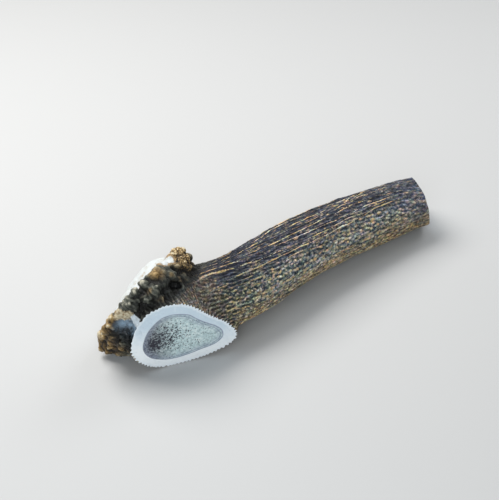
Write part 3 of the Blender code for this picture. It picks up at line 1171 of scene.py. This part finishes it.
    def heights(self, points: np.ndarray, zones: Zones, grown: dict[Layer, np.ndarray]) -> np.ndarray:
        """How far the skin is raised or sunk.

        Args:
            points: The skin's points in mm, one to a row.
            zones: Their zones.
            grown: The ridges, cords, veins and relief.

        Returns:
            The height at each point, in mm.
        """
        # The cords' share in the height, and the veins, raised in beads.
        share = 0.3 * (0.45 + 0.55 * zones.lines + 0.2 * zones.far) * zones.beam
        crest = grown[Layer.CREST] * (1 - share) + grown[Layer.CORD] * share * 1.3
        waves = rough_at(zones.unbent * (1, 1, 0.45), 6.0)
        beads = rough_at(points, 1.5)
        turn = np.arctan2(zones.unbent[:, 1], zones.unbent[:, 0])
        wave = np.cos(VEINS * turn + 2 * math.pi * grown[Layer.VEIN])
        raised = ease(wave, 0.2, 1.0) * (0.3 + 0.7 * zones.lines) * (1 + 0.7 * beads)
        # Ridges are high at the tine's sawn edge, low on the burr and worn on its brown spots.
        worn = 1 - 0.7 * zones.honey * (1 - zones.knob)
        height = self.ridge_height * (0.80 + 0.9 * zones.tine_end - 0.3 * zones.burr)
        height = height * np.clip(crest, -1.3, 1.4) * (1 + 0.5 * beads) * worn
        height = height + (self.wave_height * waves + self.vein_height * raised) * zones.beam
        height = height + (0.45 * rough_at(points, 3.0) + 0.35 * grown[Layer.RELIEF]) * zones.burr
        # The seal and the hollow have hardly any ridges, but soft waves and shallow dips.
        smooth = np.maximum(zones.seal, 0.9 * zones.hollow)
        dips = ease(rough_at(points, 2.4), 0.15, 0.5)
        calm = 0.18 * rough_at(points, 1.8) * smooth + 0.5 * rough_at(points, 3.2) * zones.hollow
        calm = calm + (0.7 * rough_at(points, 6.0) - 0.5 * dips) * zones.seal
        return height * (1 - smooth) + calm - self.pit_depth * zones.pit

    def saw_off(self, skin: bpy.types.Object) -> None:
        """Saws both faces through the ridges and closes them.

        Args:
            skin: The ridged skin.
        """
        bm = bmesh.new()
        bm.from_mesh(skin.data)
        for layer in (Layer.CORE, Layer.RIM, Layer.PORE):
            bm.verts.layers.float.new(layer.value)
        for cut in (self.tine, self.end):
            cut.close(bm)
        for face in bm.faces:
            face.smooth = True
        bm.to_mesh(skin.data)
        bm.free()
        skin.data.update()


class Value:
    """A shader socket that Python's operators turn into Math nodes."""

    def __init__(self, shader: "Shader", socket: bpy.types.NodeSocket) -> None:
        """Wraps a socket of a shader."""
        self.shader = shader
        self.socket = socket

    def __add__(self, other: Number) -> "Value":
        """Self plus other."""
        return self.shader.maths("ADD", self, other)

    def __sub__(self, other: Number) -> "Value":
        """Self minus other."""
        return self.shader.maths("SUBTRACT", self, other)

    def __rsub__(self, other: Number) -> "Value":
        """Other minus self."""
        return self.shader.maths("SUBTRACT", other, self)

    def __mul__(self, other: Number) -> "Value":
        """Self times other."""
        return self.shader.maths("MULTIPLY", self, other)

    __radd__ = __add__
    __rmul__ = __mul__


class Shader:
    """A material's node tree, built from expressions."""

    def __init__(self, name: str) -> None:
        """Starts a material with its Principled shader.

        Args:
            name: The material's name.
        """
        self.material = bpy.data.materials.new(name)
        self.material.use_nodes = True
        self.nodes = self.material.node_tree.nodes
        self.links = self.material.node_tree.links
        self.surface = self.nodes["Principled BSDF"]

    def node(self, kind: str, settings: dict[str, Any], values: dict[Any, Any]) -> bpy.types.Node:
        """Adds a node.

        Args:
            kind: The node's type.
            settings: Its settings by name; a ramp's stops come under "stops".
            values: Its sockets' values or links, by name or number.

        Returns:
            The node.
        """
        made = self.nodes.new(kind)
        for key, value in settings.items():
            if key == "stops":
                self.set_stops(made.color_ramp, value)
            else:
                setattr(made, key, value)
        for key, value in values.items():
            self.feed(made.inputs[key], value)
        return made

    @staticmethod
    def set_stops(ramp: bpy.types.ColorRamp, stops: Iterable[tuple[float, Colour]]) -> None:
        """Gives a colour ramp its stops.

        Args:
            ramp: The ramp.
            stops: The place and the colour of each stop, in order.
        """
        stops = list(stops)
        while len(ramp.elements) < len(stops):
            ramp.elements.new(1.0)
        for element, (place, colour) in zip(ramp.elements, stops):
            element.position = place
            element.color = (*colour, 1.0)

    def feed(self, socket: bpy.types.NodeSocket, value: Any) -> None:
        """Links a socket or sets its value.

        Args:
            socket: The socket.
            value: A value of this shader, a colour or a number.
        """
        if isinstance(value, Value):
            self.links.new(value.socket, socket)
        elif isinstance(value, tuple) and socket.type == "RGBA":
            socket.default_value = (*value, 1.0)
        else:
            socket.default_value = value

    def maths(self, operation: str, *values: Number) -> Value:
        """A Math node over up to three values."""
        made = self.node("ShaderNodeMath", {"operation": operation}, dict(enumerate(values)))
        return Value(self, made.outputs[0])

    def layer(self, layer: Layer, output: str = "Fac") -> Value:
        """A number, or a vector, that the surface's points carry."""
        made = self.node("ShaderNodeAttribute", {"attribute_name": layer.value}, {})
        return Value(self, made.outputs[output])

    def place(self) -> Value:
        """The place on the object, in mm."""
        made = self.node("ShaderNodeTexCoord", {}, {})
        return self.scaled(Value(self, made.outputs["Object"]), (1 / MM,) * 3)

    def scaled(self, vector: Value, scale: Sequence[float]) -> Value:
        """A vector with each part scaled."""
        made = self.node("ShaderNodeVectorMath", {"operation": "MULTIPLY"}, {0: vector, 1: tuple(scale)})
        return Value(self, made.outputs[0])

    def along(self, vector: Value, axis: Vector) -> Value:
        """How far a vector reaches along an axis."""
        made = self.node("ShaderNodeVectorMath", {"operation": "DOT_PRODUCT"}, {0: vector, 1: tuple(axis)})
        return Value(self, made.outputs["Value"])

    def turned(self, vector: Value, axes: Sequence[Vector], scale: Sequence[float]) -> Value:
        """A vector measured along three axes, each scaled."""
        parts = {i: self.along(vector, axis) * share for i, (axis, share) in enumerate(zip(axes, scale))}
        return Value(self, self.node("ShaderNodeCombineXYZ", {}, parts).outputs[0])

    def noise(self, vector: Value, size: float, detail: float = 2.0, rough: float = 0.55) -> Value:
        """Noise, spread round zero.

        Args:
            vector: Where it is read.
            size: Its size in mm.
            detail: How many finer noises are added.
            rough: How strong the finer ones are.

        Returns:
            The noise, mostly between -1 and 1.
        """
        values = {"Vector": vector, "Scale": 1 / size, "Detail": detail, "Roughness": rough}
        found = Value(self, self.node("ShaderNodeTexNoise", {}, values).outputs["Fac"])
        return (found - 0.5) * 4.0

    def cells(self, vector: Value, size: float) -> tuple[Value, Value]:
        """Scattered cells.

        Args:
            vector: Where they are read.
            size: Their size in mm.

        Returns:
            The distance from the nearest middle, and a random number for each cell.
        """
        made = self.node("ShaderNodeTexVoronoi", {}, {"Vector": vector, "Scale": 1 / size})
        parts = self.node("ShaderNodeSeparateColor", {}, {0: Value(self, made.outputs["Color"])})
        return Value(self, made.outputs["Distance"]), Value(self, parts.outputs[0])

    def step(self, value: Value, low: float, high: float) -> Value:
        """A smooth step from 0 at low to 1 at high.

        Args:
            value: What to step over.
            low: Where the step starts.
            high: Where it ends.

        Returns:
            The step, from 0 to 1.
        """
        made = self.node(
            "ShaderNodeMapRange",
            {"interpolation_type": "SMOOTHSTEP"},
            {"Value": value, "From Min": low, "From Max": high},
        )
        return Value(self, made.outputs[0])

    def ramp(self, value: Value, stops: Stops) -> Value:
        """A colour from a row of stops."""
        return Value(self, self.node("ShaderNodeValToRGB", {"stops": stops}, {0: value}).outputs[0])

    def mix(self, share: Number, first: Any, second: Any) -> Value:
        """A colour between two."""
        made = self.node("ShaderNodeMix", {"data_type": "RGBA"}, {0: share, 6: first, 7: second})
        return Value(self, made.outputs[2])

    def coats(self, colour: Any, *coats: tuple[Number, Any]) -> Value:
        """A colour with others laid over it in turn, each with its share.

        Args:
            colour: The colour below.
            coats: The share and the colour of each coat, from below.

        Returns:
            The colour on top.
        """
        for share, coat in coats:
            colour = self.mix(share, colour, coat)
        return colour

    def tinted(self, colour: Value, tint: Value) -> Value:
        """A colour multiplied by a tint."""
        settings = {"data_type": "RGBA", "blend_type": "MULTIPLY"}
        return Value(self, self.node("ShaderNodeMix", settings, {0: 1.0, 6: colour, 7: tint}).outputs[2])

    def bump(self, height: Value, strength: float = 1.0) -> Value:
        """A normal bent by a height in mm."""
        made = self.node("ShaderNodeBump", {}, {"Height": height, "Distance": MM, "Strength": strength})
        return Value(self, made.outputs[0])

    def finish(self, **values: Any) -> bpy.types.Material:
        """Feeds the Principled shader's sockets.

        Args:
            values: The sockets' values by name, with underscores for the spaces.

        Returns:
            The material.
        """
        for key, value in values.items():
            self.feed(self.surface.inputs[key.replace("_", " ")], value)
        return self.material


class BarkPatterns:
    """The layers and patterns that the regions of the outside share, with their sizes in mm."""

    STREAK, PATCH, SPECK, CELL, STRAND, POCK = 0.9, 6.0, 0.8, 1.3, 0.8, 1.7

    def __init__(self, s: Shader, tine_axes: Sequence[Vector]) -> None:
        """Makes the patterns.

        Args:
            s: The shader.
            tine_axes: Two directions across the tine, and the one along it.
        """
        self.place, self.unbent = s.place(), s.layer(Layer.UNBENT, "Vector")
        self.crest, self.relief, self.cord = s.layer(Layer.CREST), s.layer(Layer.RELIEF), s.layer(Layer.CORD)
        self.streak = s.noise(s.scaled(self.unbent, (1, 1, 0.2)), self.STREAK, 3.0, 0.6)
        self.patch = s.noise(s.scaled(self.unbent, (1, 1, 0.3)), self.PATCH, 2.0)
        self.speck = s.noise(self.place, self.SPECK, 2.0, 0.6)
        self.strand = s.noise(s.turned(self.place, tine_axes, (1, 1, 0.12)), self.STRAND, 3.0, 0.6)
        middle, self.tint = s.cells(s.scaled(self.unbent, (1, 1, 0.7)), self.CELL)
        self.grain = (0.42 - middle) * 1.1 + (self.tint - 0.5) * 0.7
        hole, chance = s.cells(self.place, self.POCK)
        self.pocks = s.step(hole + self.speck * 0.06, 0.34, 0.16) * s.step(chance, 0.55, 0.75)


@dataclass(frozen=True)
class BarkFinish:
    """The antler's outside: dark, with worn golden ridges, a pearled burr and a pale seal.

    A pattern runs from about -1 to 1, and the number that multiplies it says how strongly it shows.
    """

    tine_axes: tuple[Vector, Vector, Vector]
    lines: Stops = (
        (0.00, (0.004, 0.006, 0.013)),
        (0.34, (0.013, 0.016, 0.030)),
        (0.55, (0.060, 0.066, 0.086)),
        (0.72, (0.170, 0.150, 0.140)),
        (0.86, (0.440, 0.330, 0.220)),
        (1.00, (0.800, 0.680, 0.520)),
    )
    granular: Stops = (
        (0.00, (0.007, 0.013, 0.019)),
        (0.30, (0.038, 0.056, 0.070)),
        (0.50, (0.140, 0.155, 0.150)),
        (0.68, (0.310, 0.295, 0.240)),
        (0.84, (0.590, 0.530, 0.420)),
        (1.00, (0.900, 0.860, 0.770)),
    )
    fork: Stops = (
        (0.00, (0.007, 0.009, 0.008)),
        (0.35, (0.026, 0.032, 0.028)),
        (0.56, (0.095, 0.095, 0.075)),
        (0.74, (0.330, 0.265, 0.135)),
        (1.00, (0.780, 0.660, 0.400)),
    )
    under: Stops = (
        (0.00, (0.022, 0.016, 0.009)),
        (0.35, (0.105, 0.080, 0.045)),
        (0.58, (0.280, 0.205, 0.105)),
        (0.80, (0.520, 0.380, 0.190)),
        (1.00, (0.800, 0.650, 0.400)),
    )
    fan: Stops = (
        (0.00, (0.016, 0.013, 0.011)),
        (0.40, (0.055, 0.044, 0.036)),
        (0.70, (0.125, 0.100, 0.076)),
        (1.00, (0.360, 0.290, 0.210)),
    )
    far: Stops = (
        (0.00, (0.010, 0.012, 0.020)),
        (0.35, (0.044, 0.050, 0.078)),
        (0.60, (0.130, 0.135, 0.180)),
        (0.82, (0.330, 0.300, 0.290)),
        (1.00, (0.780, 0.680, 0.540)),
    )
    burr: Stops = (
        (0.00, (0.002, 0.002, 0.001)),
        (0.28, (0.020, 0.022, 0.018)),
        (0.58, (0.076, 0.080, 0.064)),
        (0.82, (0.170, 0.170, 0.135)),
        (1.00, (0.360, 0.345, 0.270)),
    )
    honey: Stops = (
        (0.00, (0.004, 0.002, 0.001)),
        (0.26, (0.030, 0.017, 0.006)),
        (0.50, (0.170, 0.105, 0.036)),
        (0.76, (0.460, 0.310, 0.130)),
        (1.00, (0.880, 0.740, 0.480)),
    )
    cold: Colour = (0.750, 1.000, 1.340)
    warm: Colour = (1.220, 0.990, 0.690)
    violet: Colour = (1.050, 0.870, 1.060)
    olive: Colour = (0.940, 1.130, 0.920)
    amber: Colour = (0.520, 0.340, 0.150)
    groove: Colour = (0.010, 0.012, 0.020)
    gold: Colour = (0.920, 0.640, 0.300)
    cream: Colour = (0.980, 0.900, 0.750)
    # Pale pearl tips: partly wear, partly a painted highlight.
    tip_wear_and_highlight: Colour = (0.600, 0.560, 0.440)
    # Near-black painted into the pit: painted shade.
    pit: Colour = (0.003, 0.003, 0.003)
    # The hollow's blue-white painted reflection, over its dark surface deepened by painted shade towards the
    # bottom.
    hollow: Colour = (0.400, 0.560, 0.720)
    hollow_dark: Colour = (0.020, 0.026, 0.032)
    # The height in mm over the floor at which the hollow turns from dark, painted shade, to bright, a
    # painted reflection.
    hollow_middle: float = 27.5
    flake: Colour = (0.700, 0.770, 0.820)
    ledge: Colour = (0.640, 0.560, 0.390)
    seal: Colour = (0.580, 0.610, 0.610)
    seal_warm: Colour = (0.380, 0.330, 0.250)
    seal_stain: Colour = (0.350, 0.240, 0.130)

    def build(self) -> bpy.types.Material:
        """Builds the material.

        Returns:
            The material.
        """
        s = Shader(Slot.BROWN.value)
        p = BarkPatterns(s, self.tine_axes)
        seal, hollow = s.layer(Layer.SEAL), s.layer(Layer.HOLLOW)
        body = s.mix(s.layer(Layer.BURR), self.beam_colour(s, p), self.pearl_colour(s, p))
        body = self.sealed(s, p, self.beside_tine(s, p, body))
        rough = 0.46 + p.speck * 0.08 - p.crest * 0.06 + seal * 0.2 - hollow * 0.34
        fine = p.crest * 0.08 + p.speck * 0.10 + p.grain * 0.24 + p.streak * 0.08
        calm = 1 - s.maths("MAXIMUM", seal * 0.8, hollow * 0.6)
        fine = fine * calm - p.pocks * seal * 0.25
        return s.finish(Base_Color=body, Roughness=rough, Normal=s.bump(fine), Specular_IOR_Level=0.3)

    def beam_colour(self, s: Shader, p: BarkPatterns) -> Value:
        """The beam, with its veins, its fork and underside, and the ridges that fan out to the tine.

        Args:
            s: The shader.
            p: The patterns.

        Returns:
            The colour.
        """
        # The tone layer is painted light: a paler sheen on the flank and painted shade along one edge, with
        # a darker top near the fork; it also sets how strongly the gold veins show.
        lines, far, tone = (s.layer(layer) for layer in (Layer.LINES, Layer.FAR, Layer.TONE))
        shade = tone + p.crest * 0.15 + p.cord * 0.10 + p.patch * 0.14
        on_lines = shade + 0.45 + p.grain * 0.35 + p.streak * 0.16 + p.speck * 0.22
        on_grain = shade + 0.53 + p.grain * 0.50 + p.speck * (0.30 - far * 0.12)
        on_fan = 0.57 + p.crest * 0.20 + p.strand * 0.45 + p.speck * 0.34
        spots = s.step(p.tint, 0.80, 0.90) * s.step(on_grain, 0.5, 0.85) * (0.7 - lines * 0.45)
        vein, groove, gold = self.veins(s, p)
        body = s.coats(
            s.mix(lines, s.ramp(on_grain, self.granular), s.ramp(on_lines, self.lines)),
            (spots, self.amber),
            (far * 0.7, s.ramp(on_grain - 0.10, self.far)),
            (groove * lines * 0.5, self.groove),
            (vein * ((lines * 0.70 + 0.20 + tone * 1.4) * (1 - far * 0.5)), gold),
            (s.layer(Layer.FORK) * 0.7, s.ramp(on_grain + p.crest * 0.08 - 0.06, self.fork)),
            (s.layer(Layer.UNDER) * 0.8, s.ramp(on_grain, self.under)),
            (s.layer(Layer.FAN) * 0.9, s.ramp(on_fan, self.fan)),
        )
        warmth = s.step(s.noise(s.scaled(p.unbent, (1, 1, 0.4)), 1.5, 3.0, 0.6), -1.0, 1.0)
        greenness = s.step(s.noise(s.scaled(p.unbent, (1, 1, 0.8)), 1.9, 2.0, 0.6), -1.0, 1.0)
        body = s.tinted(body, s.mix(warmth, self.cold, self.warm))
        return s.tinted(body, s.mix(greenness, self.violet, self.olive))

    def pearl_colour(self, s: Shader, p: BarkPatterns) -> Value:
        """The burr's pearls, dark between them, partly painted shade, and pale at their tips, partly worn
        and partly a painted highlight, with brown spots and a gold knob.

        Args:
            s: The shader.
            p: The patterns.

        Returns:
            The colour.
        """
        honey = s.layer(Layer.HONEY)
        # Low relief darkens the gaps between the pearls almost to black: partly their own colour, partly
        # painted shade.
        tone = 0.25 + p.relief * 0.33 + p.crest * 0.05 + p.grain * 0.10 + p.speck * 0.14 + p.patch * 0.12
        golden = tone + s.layer(Layer.KNOB) * (p.speck * 0.50 + 0.07) - honey * 0.08
        brown = s.maths("MAXIMUM", honey, s.step(s.noise(p.place, 7.0, 2.0), 0.1, 0.9) * 0.7)
        pearls = s.mix(brown, s.ramp(tone, self.burr), s.ramp(golden, self.honey))
        # The highest pearls turn pale: partly wear, partly a painted highlight.
        worn = s.step(p.relief + p.speck * 0.3 + p.patch * 0.2, 1.45, 2.1)
        return s.mix(worn * 0.6, pearls, self.tip_wear_and_highlight)

    def beside_tine(self, s: Shader, p: BarkPatterns, body: Value) -> Value:
        """Adds the hollow beside the tine, with a painted reflection above painted shade, the pit painted
        black as shade, the pale ledge and the chipped flake.

        Args:
            s: The shader.
            p: The patterns.
            body: The colour below them.

        Returns:
            The colour.
        """
        height = s.along(p.place, Vector((0, 0, 1)))
        # Painted light in the hollow: a blue-white painted reflection that fades into painted shade lower
        # down.
        gleam = s.noise(p.place, 3.0, 3.0) + (height - self.hollow_middle) * 0.22
        painted_gleam_and_shade = s.mix(s.step(gleam, -0.8, 1.2), self.hollow_dark, self.hollow)
        ledge = s.mix(s.step(p.crest + p.speck, 0.4, -1.4), self.ledge, self.seal_stain)
        on_ledge = s.step(s.layer(Layer.LEDGE) + p.speck * 0.2 + p.patch * 0.2, 0.3, 0.8)
        chipped = s.layer(Layer.FLAKE) + p.speck * 0.12 + s.noise(p.place, 2.2, 3.0) * 0.24
        return s.coats(
            body,
            (s.layer(Layer.HOLLOW) * 0.9, painted_gleam_and_shade),
            (s.step(s.layer(Layer.PIT), 0.15, 0.7) * 0.9, self.pit),
            (on_ledge * 0.85, ledge),
            (s.step(chipped, 0.38, 0.66) * 0.95, self.flake),
        )

    def sealed(self, s: Shader, p: BarkPatterns, body: Value) -> Value:
        """Adds the chalky seal, stained in spots and brown round its hem.

        Args:
            s: The shader.
            p: The patterns.
            body: The colour below it.

        Returns:
            The colour.
        """
        seal = s.layer(Layer.SEAL)
        stain = s.step(s.noise(p.place, 2.5, 3.0) - seal * 2.2, -1.7, -0.9)
        warmth = s.step(s.noise(p.place, 5.0, 4.0, 0.65), -0.2, 1.3)
        stained = s.maths("MAXIMUM", stain, p.pocks * 0.4)
        chalk = s.coats(self.seal, (warmth * 0.6, self.seal_warm), (stained, self.seal_stain))
        hem = s.step(seal + p.speck * 0.06, 0.02, 0.30)
        return s.coats(body, (hem * 0.65, self.seal_stain), (s.step(seal, 0.35, 0.65), chalk))

    def veins(self, s: Shader, p: BarkPatterns) -> tuple[Value, Value, Value]:
        """The long thin veins down the beam, broken into beads.

        Args:
            s: The shader.
            p: The patterns.

        Returns:
            Where they are and where the dark furrows beside them are, from 0 to 1, and their colour.
        """
        breaks = s.noise(s.scaled(p.unbent, (1, 1, 0.075)), 2.0, 4.0, 0.65)
        parts = s.node("ShaderNodeSeparateXYZ", {}, {0: p.unbent})
        turn = s.maths("ARCTAN2", Value(s, parts.outputs["Y"]), Value(s, parts.outputs["X"]))
        stray = (s.layer(Layer.VEIN) + p.speck * 0.04) * (2 * math.pi)
        wave = s.maths("COSINE", turn * float(VEINS) + stray)
        level = wave * 2.2 - 1.2 + breaks * 0.70 + p.speck * 0.24
        colour = s.mix(s.step(p.patch + p.speck, -0.3, 1.2), self.gold, self.cream)
        return s.step(level, 0.72, 1.12), s.step(level, -0.5, 0.5), colour


@dataclass(frozen=True)
class SawnFinish:
    """Sawn bone: a pale dense ring round a grey spongy core with dark pores."""

    level: Vector
    # Where the core turns from its dark side to its pale side, along the level axis.
    core_turn: Span = (-78.0, -62.0)
    # The sizes in mm of the mottling, the sponge, its smallest holes and the ring's bloom.
    mottle_size: float = 4.0
    sponge_size: float = 1.3
    hole_size: float = 0.9
    bloom_size: float = 2.4
    # How far a growth line's wave turns in a mm, in radians.
    growth_turn: float = 5.2
    ring: Colour = (0.615, 0.730, 0.820)
    # Painted light: the ring is paler towards its bottom and left, where bounce light from the floor falls.
    ring_painted_bounce: Colour = (0.940, 0.980, 1.000)
    ring_edge: Colour = (0.880, 0.940, 0.975)
    border: Colour = (0.235, 0.270, 0.385)
    core_left: Stops = (
        (0.0, (0.040, 0.040, 0.050)),
        (0.5, (0.190, 0.220, 0.240)),
        (1.0, (0.480, 0.510, 0.520)),
    )
    core_right: Stops = (
        (0.0, (0.200, 0.270, 0.270)),
        (0.5, (0.540, 0.685, 0.700)),
        (1.0, (0.840, 0.920, 0.900)),
    )
    pore: Colour = (0.015, 0.012, 0.026)

    def build(self) -> bpy.types.Material:
        """Builds the material.

        Returns:
            The material.
        """
        s = Shader(Slot.BONE.value)
        place = s.place()
        core, rim, sink = s.layer(Layer.CORE), s.layer(Layer.RIM), s.layer(Layer.PORE)
        mottle = s.noise(place, self.mottle_size, 2.0)
        sponge = s.noise(place, self.sponge_size, 4.0, 0.75)
        bloom = s.noise(place, self.bloom_size, 3.0, 0.7)
        holes, tint = s.cells(place, self.hole_size)
        across, up = s.along(place, self.level), s.along(place, Vector((0, 0, 1)))
        ring = s.coats(
            self.ring,
            (s.step(up + across * 0.25 + mottle * 2.0, 12.0, -8.0), self.ring_painted_bounce),
            (s.step(rim + mottle * 0.3, 1.6, 0.2) * 0.7, self.ring_edge),
            (s.step(sponge, 0.2, 1.2) * 0.14, self.border),
            (s.step(bloom, 0.0, 1.4) * 0.45, self.ring_edge),
        )
        tone = 0.53 + sponge * 0.60 + mottle * 0.12
        right = s.step(across + mottle * 1.5, *self.core_turn)
        small = s.step(holes, 0.34, 0.14) * s.step(tint + (1 - right) * 0.3, 0.80, 0.88)
        wave = s.maths("SINE", core * self.growth_turn + mottle)
        growth = s.step(wave * right + sponge * 0.2, -0.3, 0.7)
        inside = s.coats(
            s.mix(right, s.ramp(tone, self.core_left), s.ramp(tone, self.core_right)),
            (small * 0.85, self.pore),
            (s.step(sink, 0.15, 0.6) * 0.95, self.pore),
            (s.step(core + mottle * 0.7, 4.4, 0.1) * (0.30 + growth * 0.62), self.border),
        )
        colour = s.mix(s.step(core + sponge * 0.12, -0.2, 0.3), ring, inside)
        height = sponge * 0.05 - small * 0.2 + mottle * 0.03
        return s.finish(Base_Color=colour, Roughness=0.55 + sponge * 0.08, Normal=s.bump(height))


@dataclass(frozen=True)
class Studio:
    """A plain pale floor, soft lights and the camera."""

    camera_place: Vector = Vector((-303.54, -416.72, 398.25))
    camera_back: Vector = Vector((-0.4596, -0.6677, 0.5856))
    camera_up: Vector = Vector((0.3552, 0.4662, 0.8103))
    lens: float = 92.16
    sensor: float = 36.0
    floor_size: float = 6000.0
    floor_colour: Colour = (0.50, 0.50, 0.498)
    floor_roughness: float = 0.9
    # Each light's name, place, width, power in watts and colour.
    lights: tuple[tuple[str, tuple[float, float, float], float, float, Colour], ...] = (
        ("key", (-160.0, 360.0, 600.0), 460.0, 6.4, (1.0, 0.99, 0.97)),
        ("fill", (-460.0, -520.0, 380.0), 420.0, 2.6, (0.88, 0.95, 1.0)),
        ("side", (460.0, 60.0, 420.0), 300.0, 1.0, (0.96, 0.98, 1.0)),
    )
    sky: Colour = (0.93, 0.97, 1.0)
    sky_strength: float = 0.28

    def build(self) -> None:
        """Builds the studio."""
        self.build_camera()
        self.build_floor()
        for light in self.lights:
            self.build_light(*light)
        world = bpy.data.worlds.new("studio")
        world.use_nodes = True
        sky = world.node_tree.nodes["Background"]
        sky.inputs["Color"].default_value = (*self.sky, 1.0)
        sky.inputs["Strength"].default_value = self.sky_strength
        bpy.context.scene.world = world
        bpy.context.scene.view_settings.view_transform = "Standard"

    def build_camera(self) -> None:
        """Places the camera where the photograph was taken from."""
        data = bpy.data.cameras.new("camera")
        data.lens = self.lens
        data.sensor_width = self.sensor
        camera = bpy.data.objects.new("camera", data)
        bpy.context.scene.collection.objects.link(camera)
        back = self.camera_back.normalized()
        right = self.camera_up.cross(back).normalized()
        turned = Matrix((right, back.cross(right), back)).transposed().to_4x4()
        camera.matrix_world = Matrix.Translation(self.camera_place * MM) @ turned
        bpy.context.scene.camera = camera

    def build_floor(self) -> None:
        """Lays the floor under the antler."""
        bpy.ops.object.select_all(action="DESELECT")
        bpy.ops.mesh.primitive_plane_add(size=self.floor_size * MM, location=(0, 0, 0))
        floor = bpy.context.object
        floor.name = "floor"
        paint = Shader("floor").finish(Base_Color=self.floor_colour, Roughness=self.floor_roughness)
        floor.data.materials.append(paint)

    def build_light(
        self, name: str, place: Sequence[float], size: float, power: float, colour: Colour
    ) -> None:
        """Adds a soft square light that faces the antler.

        Args:
            name: The light's name.
            place: Where it stands, in mm.
            size: Its width, in mm.
            power: Its power in watts.
            colour: Its colour.
        """
        data = bpy.data.lights.new(name, "AREA")
        data.shape = "SQUARE"
        data.size = size * MM
        data.energy = power
        data.color = colour
        light = bpy.data.objects.new(name, data)
        bpy.context.scene.collection.objects.link(light)
        light.location = Vector(place) * MM
        light.rotation_euler = Vector(place).to_track_quat("Z", "Y").to_euler()


def main() -> None:
    """Builds the antler's looks and the studio."""
    logging.basicConfig(level=logging.INFO, format="%(name)s: %(message)s")
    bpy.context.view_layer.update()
    tine = tine_cut()
    skin = AntlerSkin(Burr(), tine, beam_cut()).build()
    axes = (*plane_axes(tine.normal), tine.normal)
    finishes = {Face.BARK: BarkFinish(axes), Face.SAWN: SawnFinish(axes[0])}
    for face in Face:
        skin.data.materials.append(finishes[face].build())
    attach(skin, "root")
    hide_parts("beam", "brow_tine")
    LOG.info("%s has %d faces", skin.name, len(skin.data.polygons))
    Studio().build()


if __name__ == "__main__":
    main()
